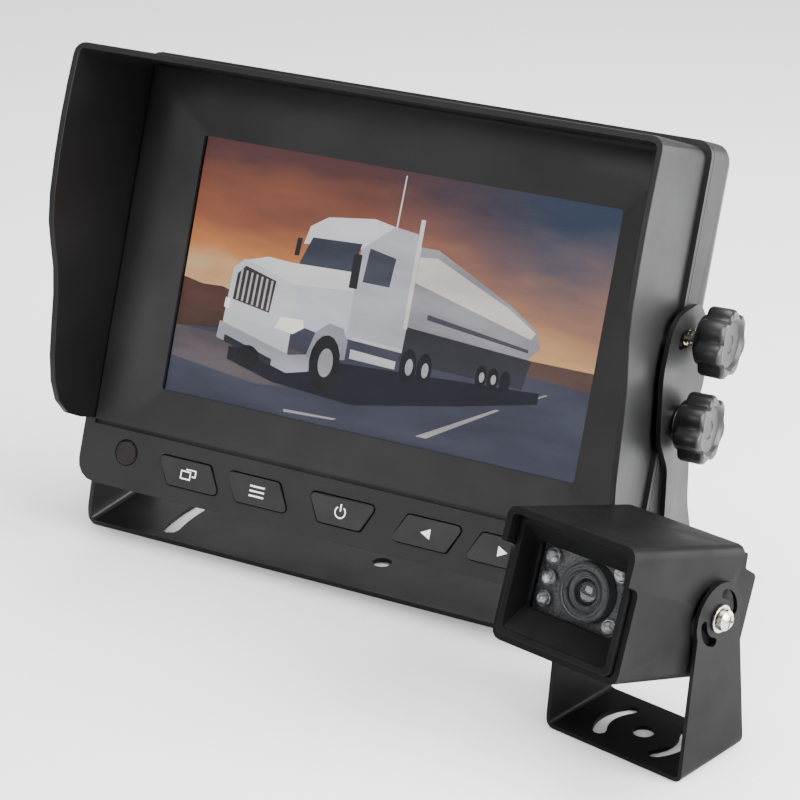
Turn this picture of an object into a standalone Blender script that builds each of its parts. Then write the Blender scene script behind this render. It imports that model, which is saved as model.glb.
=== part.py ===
"""Backup camera kit: a dash monitor with sun hood on a steel U-bracket, and a small
infrared camera on its own bracket.

Metres, +Z up, the front of both pieces faces -Y. Both brackets stand on z = 0, and the
origin is under the middle of the whole kit. The monitor head is modelled in a frame at
the middle of its screen, x to the right, y into the case, z up the screen. The camera is
modelled about its own pivot.
"""

import math

import bmesh
import bpy
from mathutils import Matrix, Vector

# ---------------------------------------------------------------- driving dimensions
GAP = 0.0003  # between pieces that touch
KIT_SHIFT = Vector((-0.016427, 0.032347, 0.0))  # puts the origin under the middle of the kit

# screen and monitor case, in the screen frame
SCREEN_W = 0.1540
SCREEN_H = 0.0866
CASE_HALF = 0.1026
CASE_TOP = 0.0679
CASE_BOTTOM = -0.0786
TOP_RADIUS = 0.0050
BOTTOM_RADIUS = 0.0070
FACE_Y = -0.00335
LEDGE_Y = -0.0016
BEZEL_BACK = 0.0004
CASE_WALL = 0.0022
SIDE_END_Y = 0.0130
REAR_Y = 0.0195
PLATEAU_Y = 0.0260
RECESS_HALF = 0.0852
RECESS_TOP = 0.0515
RECESS_BOTTOM = -0.0539
GROOVE_TOP = -0.0574
GROOVE_BOTTOM = -0.0588

# sun hood
HOOD_HALF = 0.1012
HOOD_TOP = 0.0658
HOOD_WALL = 0.0020
HOOD_ROOT_Y = -0.0019
HOOD_FRONT_Y = -0.0470
HOOD_FLARE = math.radians(3.6)
HOOD_END_Z = -0.0572

# push buttons on the lower panel
BUTTON_Z = -0.0686
BUTTON_H = 0.0094
BUTTON_W = 0.0202
BUTTON_LEAN = 0.0050
BUTTON_X = (-0.0585, -0.0317, 0.0, 0.0317, 0.0585)
BUTTON_NAMES = ("mode_button", "menu_button", "power_button", "left_button", "right_button")
BUTTON_FRONT = -0.0040
BUTTON_GAP = 0.00035
RECEIVER_X = -0.0842
RECEIVER_Z = -0.0663
RECEIVER_R = 0.0042

# clamp between the head and its bracket
PIVOT_IN_HEAD = Vector((0.0, 0.0044, -0.0182))
STUD_SPACING = 0.0267
STUD_R = 0.0020
INSERT_R = 0.0029
KNOB_R = 0.0110
KNOB_LOBES = 7
BACKED_OFF = 0.0014  # two turns of the upper knobs' thread
HEAD_TILT = math.radians(20.8)
HEAD_TILT_LEAST = math.radians(0.8)
HEAD_TILT_MOST = math.radians(34.8)

# monitor bracket, in the frame of its own base
PIVOT = Vector((0.0, -0.00135, 0.0755))
ARM_X = 0.1052
SHEET = 0.0016
BASE_HALF_Y = 0.0205
BASE_HOLE_R = 0.0033

# camera, its bracket in the frame of its own base
CAMERA_PLACE = Vector((0.1228, -0.0585, 0.0))
CAMERA_TURN = math.radians(-12.5)
CAMERA_TILT = math.radians(19.0)
CAMERA_PIVOT_Z = 0.0480
CAM_ARM_X = 0.0250
CAM_SHEET = 0.0013
CAM_BASE_HALF_Y = 0.0150
CAM_EAR_R = 0.0108

# camera head, about its pivot
SHELL_HALF = 0.0225
SHELL_TOP = 0.0203
SHELL_BOTTOM = -0.0193
SHELL_WALL = 0.0020
SHELL_FRONT = -0.0405
VISOR_FRONT = -0.0460
VISOR_DROP_Z = 0.0085
SHELL_REAR = 0.0098
FRAME_FRONT = -0.0422
WINDOW_HALF = 0.0172
WINDOW_TOP = 0.0108
WINDOW_BOTTOM = -0.0085
LENS_Z = 0.0008
COVER_REAR = 0.0215

LEDS = ((-0.0143, 0.0070), (-0.0143, 0.0007), (-0.0143, -0.0056), (0.0142, 0.0078),
        (0.0142, 0.0014), (0.0142, -0.0050), (0.0096, 0.0090), (0.0096, -0.0068))

PARTS = "backup_camera_kit"
CUTTERS = "cutters"


# ---------------------------------------------------------------- scene and materials
def clear_scene():
    for obj in list(bpy.data.objects):
        bpy.data.objects.remove(obj, do_unlink=True)
    for name in (PARTS, CUTTERS):
        collection = bpy.data.collections.new(name)
        bpy.context.scene.collection.children.link(collection)


def material(name, colour, roughness, metallic=0.0, transmission=0.0):
    made = bpy.data.materials.new(name)
    made.use_nodes = True
    shader = made.node_tree.nodes["Principled BSDF"]
    shader.inputs["Base Color"].default_value = (*colour, 1.0)
    shader.inputs["Roughness"].default_value = roughness
    shader.inputs["Metallic"].default_value = metallic
    shader.inputs["Transmission Weight"].default_value = transmission
    made.diffuse_color = (*colour, 1.0)
    return made


def empty(name, parent=None, location=(0, 0, 0), rotation=(0, 0, 0)):
    made = bpy.data.objects.new(name, None)
    bpy.data.collections[PARTS].objects.link(made)
    made.parent = parent
    made.location = location
    made.rotation_euler = rotation
    return made


def place(mesh, name, parent, location=(0, 0, 0), finish=None):
    """A mesh as a named sub-part of the kit."""
    made = bpy.data.objects.new(name, mesh)
    mesh.name = name
    bpy.data.collections[PARTS].objects.link(made)
    made.parent = parent
    made.location = location
    if finish:
        mesh.materials.clear()
        mesh.materials.append(finish)
    return made


def helper(mesh, name, parent, location=(0, 0, 0)):
    """A hidden solid that only cuts or joins."""
    made = bpy.data.objects.new(name, mesh)
    bpy.data.collections[CUTTERS].objects.link(made)
    made.parent = parent
    made.location = location
    made.hide_render = True
    made.display_type = "WIRE"
    return made


def combine(obj, mesh, operation, location=(0, 0, 0)):
    other = helper(mesh, f"{obj.name}_{operation.lower()}", obj.parent, obj.location + Vector(location))
    modifier = obj.modifiers.new(other.name, "BOOLEAN")
    modifier.operation = operation
    modifier.solver = "EXACT"
    modifier.object = other


def cut(obj, mesh, location=(0, 0, 0)):
    combine(obj, mesh, "DIFFERENCE", location)


def join(obj, mesh, location=(0, 0, 0)):
    combine(obj, mesh, "UNION", location)


def keep_inside(obj, mesh, location=(0, 0, 0)):
    combine(obj, mesh, "INTERSECT", location)


def smooth(obj, angle=35.0):
    obj.data.shade_smooth()
    obj.data.set_sharp_from_angle(angle=math.radians(angle))


# ---------------------------------------------------------------- outlines and meshes
def rounded(corners, segments=4):
    """The outline through corners (u, v, radius), with each corner turned as an arc."""
    points = []
    count = len(corners)
    for i, (u, v, radius) in enumerate(corners):
        here = Vector((u, v))
        before = Vector(corners[i - 1][:2])
        after = Vector(corners[(i + 1) % count][:2])
        if radius <= 0:
            points.append(here)
            continue
        into = (here - before).normalized()
        out = (after - here).normalized()
        turn = into.angle_signed(out)
        reach = radius * math.tan(abs(turn) / 2)
        side = -1 if turn > 0 else 1
        centre = here - into * reach + Vector((-into.y, into.x)) * radius * side
        arm = here - into * reach - centre
        for step in range(segments + 1):
            spin = Matrix.Rotation(-turn * step / segments, 2)
            points.append(centre + spin @ arm)
    return points


def rectangle(left, right, bottom, top, radius=0.0, segments=4):
    corners = ((left, bottom), (right, bottom), (right, top), (left, top))
    return rounded([(u, v, radius) for u, v in corners], segments)


def circle(u, v, radius, steps=16):
    turns = (2 * math.pi * i / steps for i in range(steps))
    return [Vector((u + radius * math.cos(t), v + radius * math.sin(t))) for t in turns]


def arc_slot(u, v, reach, half_width, start, end, steps=8):
    """A slot with round ends that follows an arc of radius reach about (u, v)."""
    def along(radius, first, last, count, about=(u, v)):
        for i in range(count + 1):
            t = first + (last - first) * i / count
            yield Vector((about[0] + radius * math.cos(t), about[1] + radius * math.sin(t)))

    first_end = (u + reach * math.cos(start), v + reach * math.sin(start))
    last_end = (u + reach * math.cos(end), v + reach * math.sin(end))
    return (list(along(reach + half_width, start, end, steps))
            + list(along(half_width, end, end + math.pi, 4, last_end))[1:-1]
            + list(along(reach - half_width, end, start, steps))
            + list(along(half_width, start + math.pi, start + 2 * math.pi, 4, first_end))[1:-1])


PLANES = {
    "XY": Matrix.Identity(3),
    "XZ": Matrix(((1, 0, 0), (0, 0, -1), (0, 1, 0))),
    "YZ": Matrix(((0, 0, 1), (1, 0, 0), (0, 1, 0))),
}
THICK_AXIS = {"XY": 2, "XZ": 1, "YZ": 0}


def slab(outlines, plane, low, high, bevel=0.0):
    """A flat outline, with any holes as further outlines, from low to high across its plane."""
    curve = bpy.data.curves.new("outline", "CURVE")
    curve.dimensions = "2D"
    curve.fill_mode = "BOTH"
    curve.extrude = (high - low) / 2 - bevel
    if bevel:
        curve.bevel_depth = bevel
        curve.bevel_resolution = 0
        curve.offset = -bevel
    for outline in outlines:
        spline = curve.splines.new("POLY")
        spline.points.add(len(outline) - 1)
        for point, (u, v) in zip(spline.points, outline):
            point.co = (u, v, 0.0, 1.0)
        spline.use_cyclic_u = True
    guide = bpy.data.objects.new("outline", curve)
    bpy.context.scene.collection.objects.link(guide)
    graph = bpy.context.evaluated_depsgraph_get()
    mesh = bpy.data.meshes.new_from_object(guide.evaluated_get(graph))
    bpy.data.objects.remove(guide)
    bpy.data.curves.remove(curve)
    work = bmesh.new()
    work.from_mesh(mesh)
    bmesh.ops.remove_doubles(work, verts=work.verts, dist=1e-6)
    bmesh.ops.recalc_face_normals(work, faces=work.faces)
    work.to_mesh(mesh)
    work.free()
    mesh.materials.clear()
    shift = Vector((0, 0, 0))
    shift[THICK_AXIS[plane]] = (low + high) / 2
    mesh.transform(Matrix.Translation(shift) @ PLANES[plane].to_4x4())
    return mesh


def block(low, high, bevel=0.0):
    """A box between two corners, with its edges bevelled."""
    low, high = Vector(low), Vector(high)
    work = bmesh.new()
    bmesh.ops.create_cube(work, size=1.0)
    size = high - low
    bmesh.ops.scale(work, vec=size, verts=work.verts)
    bmesh.ops.translate(work, vec=(low + high) / 2, verts=work.verts)
    if bevel:
        bmesh.ops.bevel(work, geom=work.edges, offset=bevel, segments=1, profile=0.5,
                        affect="EDGES", material=-1)
    mesh = bpy.data.meshes.new("block")
    work.to_mesh(mesh)
    work.free()
    return mesh


TURN_TO = {
    "+X": Matrix.Rotation(math.pi / 2, 4, "Y"),
    "-X": Matrix.Rotation(-math.pi / 2, 4, "Y"),
    "+Y": Matrix.Rotation(-math.pi / 2, 4, "X"),
    "-Y": Matrix.Rotation(math.pi / 2, 4, "X"),
}


def turned(profile, towards, steps=20):
    """A solid of revolution: profile is (radius, height) from its top on the axis, down the
    outside, and back to the axis. Height runs along the axis named by towards."""
    work = bmesh.new()
    verts = [work.verts.new((radius, 0.0, height)) for radius, height in profile]
    edges = [work.edges.new(pair) for pair in zip(verts, verts[1:])]
    bmesh.ops.spin(work, geom=verts + edges, axis=(0, 0, 1), cent=(0, 0, 0), steps=steps,
                   angle=2 * math.pi, use_merge=True)
    bmesh.ops.remove_doubles(work, verts=work.verts, dist=1e-6)
    bmesh.ops.recalc_face_normals(work, faces=work.faces)
    mesh = bpy.data.meshes.new("turned")
    work.to_mesh(mesh)
    work.free()
    mesh.transform(TURN_TO[towards])
    return mesh


def rod(radius, low, high, towards, steps=16):
    return turned(((0, high), (radius, high), (radius, low), (0, low)), towards, steps)


def tube(inner, outer, low, high, towards, steps=20):
    ring = turned(((inner, high), (outer, high), (outer, low), (inner, low), (inner, high)), towards, steps)
    return ring


def loft(sections):
    """A closed solid through outlines of equal length, each given as 3-D points."""
    work = bmesh.new()
    rings = [[work.verts.new(point) for point in section] for section in sections]
    loops = [[work.edges.new((ring[i], ring[(i + 1) % len(ring)])) for i in range(len(ring))]
             for ring in rings]
    for first, last in zip(loops, loops[1:]):
        bmesh.ops.bridge_loops(work, edges=first + last)
    work.faces.new(rings[0])
    work.faces.new(rings[-1])
    bmesh.ops.recalc_face_normals(work, faces=work.faces)
    mesh = bpy.data.meshes.new("loft")
    work.to_mesh(mesh)
    work.free()
    return mesh


# ---------------------------------------------------------------- monitor head
def case_outline(inset=0.0):
    top = max(TOP_RADIUS - inset, 0.001)
    bottom = max(BOTTOM_RADIUS - inset, 0.001)
    half = CASE_HALF - inset
    return rounded(((-half, CASE_BOTTOM + inset, bottom), (half, CASE_BOTTOM + inset, bottom),
                    (half, CASE_TOP - inset, top), (-half, CASE_TOP - inset, top)))


def button_outline(name, grow=0.0):
    """A leaning four-sided key: the outer keys lean towards the middle, the power key tapers."""
    x = BUTTON_X[BUTTON_NAMES.index(name)]
    top = BUTTON_Z + BUTTON_H / 2 + grow
    bottom = BUTTON_Z - BUTTON_H / 2 - grow
    if name == "power_button":
        above, below = 0.0128 + grow * 1.2, 0.0078 + grow * 1.2
        corners = ((-below, bottom), (below, bottom), (above, top), (-above, top))
    else:
        half = BUTTON_W / 2 + grow * 1.2
        lean = math.copysign(BUTTON_LEAN / 2, x)
        corners = ((x - half - lean, bottom), (x + half - lean, bottom),
                   (x + half + lean, top), (x - half + lean, top))
    return rounded([(u, v, 0.0014 + grow) for u, v in corners], 3)


def screw_places():
    return [(x, z) for z in (0.0585, -0.0695) for x in (-0.0925, 0.0925)]


def front_bezel(head, finish):
    obj = place(slab([case_outline()], "XZ", FACE_Y, BEZEL_BACK), "front_bezel", head, finish=finish)
    join(obj, slab([rectangle(-0.0880, 0.0880, -0.0562, 0.0542, 0.002, 2)], "XZ", -0.0002, 0.0010))
    ring = (rectangle(-0.0993, 0.0993, -0.0760, 0.0652, 0.007, 4),
            rectangle(-0.0979, 0.0979, -0.0746, 0.0638, 0.0056, 4))
    join(obj, slab(ring, "XZ", -0.0002, 0.0040))
    for x, z in screw_places():
        join(obj, rod(0.0031, 0.0, 0.0120, "+Y", 12), (x, 0, z))
        cut(obj, rod(0.0017, 0.0020, 0.0130, "+Y", 12), (x, 0, z))
    front = rectangle(-RECESS_HALF, RECESS_HALF, RECESS_BOTTOM, RECESS_TOP, 0.004, 3)
    middle = (RECESS_BOTTOM + RECESS_TOP) / 2
    across = SCREEN_W / (2 * RECESS_HALF)
    up = SCREEN_H / (RECESS_TOP - RECESS_BOTTOM)
    back = [(u * across, (v - middle) * up) for u, v in front]
    cut(obj, loft([[(u, FACE_Y - 0.001, v) for u, v in front],
                   [(u, FACE_Y, v) for u, v in front],
                   [(u, 0.0, v) for u, v in back]]))
    half, high = SCREEN_W / 2 - 0.0003, SCREEN_H / 2 - 0.0003
    cut(obj, slab([rectangle(-half, half, -high, high, 0.001, 2)], "XZ", -0.0010, 0.0030))
    rim = 0.0987
    ledge = rounded(((-0.110, HOOD_END_Z, 0), (-rim, HOOD_END_Z, 0), (-rim, 0.0632, 0.003),
                     (rim, 0.0632, 0.003), (rim, HOOD_END_Z, 0), (0.110, HOOD_END_Z, 0),
                     (0.110, 0.075, 0), (-0.110, 0.075, 0)), 3)
    cut(obj, slab([ledge], "XZ", FACE_Y - 0.002, LEDGE_Y))
    cut(obj, block((-rim, FACE_Y - 0.002, GROOVE_BOTTOM), (rim, FACE_Y + 0.00125, GROOVE_TOP)))
    for name in BUTTON_NAMES:
        cut(obj, slab([button_outline(name, BUTTON_GAP)], "XZ", FACE_Y - 0.002, 0.003))
    cut(obj, rod(RECEIVER_R + GAP, -0.006, 0.003, "+Y", 20), (RECEIVER_X, 0, RECEIVER_Z))
    for side in (-1, 1):
        low, high = sorted((side * 0.0970, side * 0.1005))
        cut(obj, block((low, BEZEL_BACK + GAP, -0.0245), (high, 0.006, 0.0150)))
    return obj


def rear_case(head, finish):
    start = BEZEL_BACK + GAP
    rings = ((start, 0.0), (SIDE_END_Y, 0.0), (0.0162, 0.0008), (0.0184, 0.0028), (REAR_Y, 0.0060),
             (REAR_Y, 0.0260), (0.0235, 0.0272), (PLATEAU_Y, 0.0300))
    half_w, half_h = CASE_HALF, (CASE_TOP - CASE_BOTTOM) / 2
    middle = (CASE_TOP + CASE_BOTTOM) / 2
    outline = case_outline()

    def ring_at(y, inset):
        across, up = (half_w - inset) / half_w, (half_h - inset) / half_h
        return [(u * across, y, middle + (v - middle) * up) for u, v in outline]

    obj = place(loft([ring_at(y, inset) for y, inset in rings]), "rear_case", head, finish=finish)
    hollow = [(start - 0.002, CASE_WALL), (SIDE_END_Y, CASE_WALL), (0.0172, 0.0062),
              (0.0173, 0.0285), (PLATEAU_Y - CASE_WALL, 0.0315)]
    cut(obj, loft([ring_at(y, inset) for y, inset in hollow]))
    for side in (-1, 1):
        for lift in (0.0, STUD_SPACING):
            z = PIVOT_IN_HEAD.z + lift
            low, high = sorted((side * 0.0945, side * 0.1015))
            join(obj, block((low, start, z - 0.0048), (high, 0.0092, z + 0.0048)))
            bore = rod(INSERT_R + GAP, 0.0955, 0.1040, "+X" if side > 0 else "-X", 16)
            cut(obj, bore, (0, PIVOT_IN_HEAD.y, z))
    for x, z in screw_places():
        join(obj, rod(0.0031, 0.0123, 0.0180, "+Y", 12), (x, 0, z))
        cut(obj, rod(0.0017, 0.0110, 0.0250, "+Y", 12), (x, 0, z))
    cut(obj, rod(0.0063, 0.0150, 0.0220, "+Y", 20), (-0.0500, 0, -0.0630))
    for row in range(6):
        z = 0.0270 - row * 0.0080
        cut(obj, slab([rectangle(-0.0350, 0.0350, z, z + 0.0022, 0.0010, 2)], "XZ", 0.0220, 0.0280))
    return obj


def hood_side_profile():
    """What the hood's walls keep, seen from the side: an S-curved front edge, deeper above."""
    back = HOOD_ROOT_Y
    edge = ((-0.0102, HOOD_END_Z), (-0.0177, -0.0560), (-0.0237, -0.0520), (-0.0277, -0.0455),
            (-0.0304, -0.0370), (-0.0322, -0.0270), (-0.0338, -0.0170), (-0.0362, -0.0080),
            (-0.0397, 0.0000), (-0.0425, 0.0070), (-0.0442, 0.0160), (-0.0449, 0.0280),
            (-0.0451, 0.0400), (-0.0446, 0.0520), (-0.0432, 0.0690))
    return [Vector(point) for point in ((back, HOOD_END_Z - 0.002), (-0.0102, HOOD_END_Z - 0.002),
                                        *edge, (back, 0.0690))]


def sun_hood(head, finish):
    """A top and two side walls, flaring a little towards the front."""
    section = rounded(((-HOOD_HALF, HOOD_END_Z, 0), (-HOOD_HALF, HOOD_TOP, 0.004),
                       (HOOD_HALF, HOOD_TOP, 0.004), (HOOD_HALF, HOOD_END_Z, 0),
                       (HOOD_HALF - HOOD_WALL, HOOD_END_Z, 0),
                       (HOOD_HALF - HOOD_WALL, HOOD_TOP - HOOD_WALL, 0.002),
                       (HOOD_WALL - HOOD_HALF, HOOD_TOP - HOOD_WALL, 0.002),
                       (HOOD_WALL - HOOD_HALF, HOOD_END_Z, 0)), 4)
    reach = HOOD_ROOT_Y - HOOD_FRONT_Y
    wider = 1 + reach * math.tan(HOOD_FLARE) / HOOD_HALF
    obj = place(loft([[(u, HOOD_ROOT_Y, v) for u, v in section],
                      [(u * wider, HOOD_FRONT_Y, v) for u, v in section]]),
                "sun_hood", head, finish=finish)
    keep_inside(obj, slab([hood_side_profile()], "YZ", -0.115, 0.115))
    return obj


def display_stack(head, finishes):
    place(block((-0.0795, 0.0013, -0.0460), (0.0795, 0.0024, 0.0460), 0.0002),
          "screen_glass", head, finish=finishes["glass"])
    place(block((-0.0800, 0.0027, -0.0475), (0.0800, 0.0057, 0.0465), 0.0002),
          "lcd_panel", head, finish=finishes["lcd"])
    tray = place(block((-0.0825, 0.0032, -0.0500), (0.0825, 0.0088, 0.0490), 0.0004),
                 "backlight_tray", head, finish=finishes["steel"])
    cut(tray, block((-0.0804, 0.0010, -0.0479), (0.0804, 0.0060, 0.0469)))


def boards(head, finishes):
    board = place(block((-0.0700, 0.0110, -0.0440), (0.0700, 0.0126, 0.0400)),
                  "main_board", head, finish=finishes["pcb"])
    for low, high in (((-0.030, -0.020), (-0.012, -0.002)), ((0.012, -0.012), (0.030, 0.010)),
                      ((-0.060, 0.012), (-0.044, 0.030)), ((0.048, -0.038), (0.062, -0.026))):
        join(board, block((low[0], 0.0120, low[1]), (high[0], 0.0152, high[1])))
    keys = place(block((-0.0885, 0.0050, -0.0740), (0.0720, 0.0064, -0.0625)),
                 "key_board", head, finish=finishes["pcb"])
    for x in BUTTON_X:
        join(keys, block((x - 0.003, 0.0029, BUTTON_Z - 0.003), (x + 0.003, 0.0054, BUTTON_Z + 0.003)))
    speaker = place(turned(((0, 0.0125), (0.0050, 0.0125), (0.0052, 0.0105), (0.0088, 0.0095),
                            (0.0088, 0.0080), (0.0060, 0.0080), (0, 0.0088)), "+Y", 24),
                    "speaker", head, (0.0800, 0, -0.0620), finishes["rubber"])
    smooth(speaker)


def receiver_window(head, finish):
    profile = ((0, 0.0018), (0.0054, 0.0018), (0.0054, 0.0008), (RECEIVER_R, 0.0008),
               (RECEIVER_R, -0.0034), (0.0037, -0.0037), (0, -0.0037))
    smooth(place(turned(profile, "+Y", 24), "receiver_window", head, (RECEIVER_X, 0, RECEIVER_Z), finish))


def input_socket(head, finish):
    """The rear multi-pin inlet that takes power and the camera's lead."""
    profile = ((0, 0.0180), (0.0046, 0.0180), (0.0046, 0.0240), (0.0058, 0.0240), (0.0058, 0.0218),
               (0.0080, 0.0214), (0.0080, 0.0198), (0.0060, 0.0198), (0.0060, 0.0135), (0, 0.0135))
    smooth(place(turned(profile, "+Y", 20), "input_socket", head, (-0.0500, 0, -0.0630), finish))


def case_screws(head, finish):
    profile = ((0, 0.0214), (0.0020, 0.0212), (0.0029, 0.0203), (0.0029, 0.0198), (0.0014, 0.0198),
               (0.0014, 0.0040), (0, 0.0034))
    for number, (x, z) in enumerate(screw_places(), 1):
        smooth(place(turned(profile, "+Y", 12), f"case_screw_{number}", head, (x, 0, z), finish))


def buttons(head, finish):
    for name in BUTTON_NAMES:
        x = BUTTON_X[BUTTON_NAMES.index(name)]
        centre = Vector((x, 0, BUTTON_Z))
        key = slab([button_outline(name)], "XZ", BUTTON_FRONT, 0.0012)
        key.transform(Matrix.Translation(-centre))
        flange = slab([button_outline(name, 0.0008)], "XZ", 0.0007, 0.0018)
        flange.transform(Matrix.Translation(-centre))
        obj = place(key, name, head, centre, finish)
        join(obj, flange)


# ---------------------------------------------------------------- clamp knobs
def knob_outline():
    """A seven-lobed grip: a circle whose edge dips between the lobes."""
    points = []
    for i in range(KNOB_LOBES * 6):
        turn = 2 * math.pi * i / (KNOB_LOBES * 6)
        wave = math.cos(KNOB_LOBES * turn)
        points.append(Vector((math.cos(turn), math.sin(turn))) * (KNOB_R - 0.0009 * (1 - wave)))
    return points


def clamp_knobs(head, finishes):
    """Two knobs on each side. Each screws its stud through the bracket into an insert."""
    for side, side_name in ((-1, "left"), (1, "right")):
        towards = "+X" if side > 0 else "-X"
        for lift, level, off in ((0.0, "lower", 0.0), (STUD_SPACING, "upper", BACKED_OFF)):
            name = f"{side_name}_{level}"
            centre = PIVOT_IN_HEAD + Vector((0, 0, lift))
            moved = centre + Vector((side * off, 0, 0))
            insert = place(tube(0.0023, INSERT_R, 0.0958, 0.1030, towards, 16),
                           f"insert_{name}", head, centre, finishes["brass"])
            washer = place(tube(0.0023, 0.0056, ARM_X + GAP, ARM_X + 0.0011, towards, 20),
                           f"washer_{name}", head, moved, finishes["nickel"])
            stud = place(turned(((0, 0.1125), (0.0016, 0.1125), (STUD_R, 0.1121), (STUD_R, 0.0974),
                                 (0.0016, 0.0970), (0, 0.0970)), towards, 16),
                         f"stud_{name}", head, moved, finishes["nickel"])
            collar_start = ARM_X + 0.0014
            head_start, head_end = collar_start + 0.0016, collar_start + 0.0103
            low, high = sorted((side * head_start, side * head_end))
            knob = place(slab([knob_outline()], "YZ", low, high, 0.0010),
                         f"knob_{name}", head, moved, finishes["knob"])
            join(knob, rod(0.0078, collar_start, head_start + 0.001, towards, 20))
            cut(knob, rod(STUD_R + GAP, collar_start - 0.002, 0.1129, towards, 16))
            dish = turned(((0, head_end + 0.002), (0.0086, head_end + 0.002), (0.0068, head_end - 0.0012),
                           (0, head_end - 0.0016)), towards, 20)
            cut(knob, dish)
            for obj in (insert, washer, stud):
                smooth(obj)


# ---------------------------------------------------------------- brackets
def u_profile(half_width, height, sheet, bend):
    """The folded strip seen from the front: a base between two upright arms."""
    inner = half_width - sheet
    return rounded(((-half_width, 0, bend), (half_width, 0, bend), (half_width, height, 0),
                    (inner, height, 0), (inner, sheet, bend - sheet), (-inner, sheet, bend - sheet),
                    (-inner, height, 0), (-half_width, height, 0)), 4)


def monitor_bracket(root, finish):
    top = 0.1150
    obj = place(slab([u_profile(ARM_X, top, SHEET, 0.0032)], "XZ", -BASE_HALF_Y, BASE_HALF_Y),
                "monitor_bracket", root, finish=finish)
    half = BASE_HALF_Y
    side_view = rounded(((-half, -0.002, 0), (half, -0.002, 0), (half, 0.0060, 0.004),
                         (0.0088, 0.0450, 0.020), (0.0086, 0.0690, 0.010), (0.0180, 0.0830, 0.010),
                         (0.0198, 0.1000, 0.010), (0.0130, 0.1105, 0.008), (-0.0060, 0.1115, 0.010),
                         (-0.0138, 0.0960, 0.020), (-0.0144, 0.0740, 0.012), (-0.0080, 0.0630, 0.010),
                         (-0.0088, 0.0450, 0.020), (-half, 0.0060, 0.004)), 4)
    keep_inside(obj, slab([side_view], "YZ", -0.110, 0.110))
    pivot_hole = circle(PIVOT.y, PIVOT.z, STUD_R + GAP, 16)
    stud_slot = arc_slot(PIVOT.y, PIVOT.z, STUD_SPACING, STUD_R + 0.0006,
                         math.pi / 2 - HEAD_TILT_MOST, math.pi / 2 - HEAD_TILT_LEAST, 6)
    for outline in (pivot_hole, stud_slot):
        cut(obj, slab([outline], "YZ", -0.110, 0.110))
    cut(obj, slab([circle(0, 0, BASE_HOLE_R, 20)], "XY", -0.002, 0.004))
    spread = math.radians(10.0)
    for middle in (0.0, math.pi):
        cut(obj, slab([arc_slot(0, 0, 0.0770, 0.0030, middle - spread, middle + spread)], "XY", -0.002, 0.004))
    return obj


def camera_bracket(unit, finish):
    top = CAMERA_PIVOT_Z + CAM_EAR_R + 0.002
    obj = place(slab([u_profile(CAM_ARM_X, top, CAM_SHEET, 0.0026)], "XZ",
                     -CAM_BASE_HALF_Y, CAM_BASE_HALF_Y), "camera_bracket", unit, finish=finish)
    half = CAM_BASE_HALF_Y
    upright = rounded(((-half, -0.002, 0), (half, -0.002, 0), (half, 0.0040, 0.003),
                       (0.0098, CAMERA_PIVOT_Z, 0), (-0.0098, CAMERA_PIVOT_Z, 0), (-half, 0.0040, 0.003)), 4)
    sides = slab([upright], "YZ", -0.030, 0.030)
    ear = rod(CAM_EAR_R, -0.030, 0.030, "+X", 32)
    ear.transform(Matrix.Translation((0, 0, CAMERA_PIVOT_Z)))
    both = helper(sides, "camera_bracket_side_view", unit)
    join(both, ear)
    modifier = obj.modifiers.new("side_view", "BOOLEAN")
    modifier.operation = "INTERSECT"
    modifier.object = both
    cut(obj, slab([circle(0, CAMERA_PIVOT_Z, 0.0021, 16)], "YZ", -0.030, 0.030))
    for middle in (math.radians(35), math.radians(215)):
        slot = arc_slot(0, CAMERA_PIVOT_Z, 0.0073, 0.0014, middle - 0.65, middle + 0.65, 6)
        cut(obj, slab([slot], "YZ", -0.030, 0.030))
    cut(obj, slab([circle(0, 0, 0.0034, 20)], "XY", -0.002, 0.004))
    spread = math.radians(38.0)
    for middle in (0.0, math.pi):
        cut(obj, slab([arc_slot(0, 0, 0.0130, 0.0021, middle - spread, middle + spread)], "XY", -0.002, 0.004))
    return obj


# ---------------------------------------------------------------- camera head
def camera_shell(tilt, finish):
    outline = rectangle(-SHELL_HALF, SHELL_HALF, SHELL_BOTTOM, SHELL_TOP, 0.003, 3)
    obj = place(slab([outline], "XZ", VISOR_FRONT, SHELL_REAR), "camera_shell", tilt, finish=finish)
    below_visor = rounded(((-0.060, -0.030, 0), (SHELL_FRONT, -0.030, 0), (SHELL_FRONT, VISOR_DROP_Z, 0.003),
                           (VISOR_FRONT - 0.004, VISOR_DROP_Z + 0.002, 0), (-0.060, VISOR_DROP_Z + 0.002, 0)), 3)
    cut(obj, slab([below_visor], "YZ", -0.030, 0.030))
    inner = SHELL_HALF - SHELL_WALL
    hollow = rectangle(-inner, inner, SHELL_BOTTOM + SHELL_WALL, SHELL_TOP - SHELL_WALL, 0.0015, 2)
    cut(obj, slab([hollow], "XZ", VISOR_FRONT - 0.005, SHELL_REAR + 0.005))
    for side in (-1, 1):
        towards = "+X" if side > 0 else "-X"
        join(obj, rod(0.0050, 0.0185, CAM_ARM_X - CAM_SHEET - GAP, towards, 20))
        cut(obj, rod(0.0021, 0.0170, 0.0280, towards, 16))
    return obj


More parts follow.
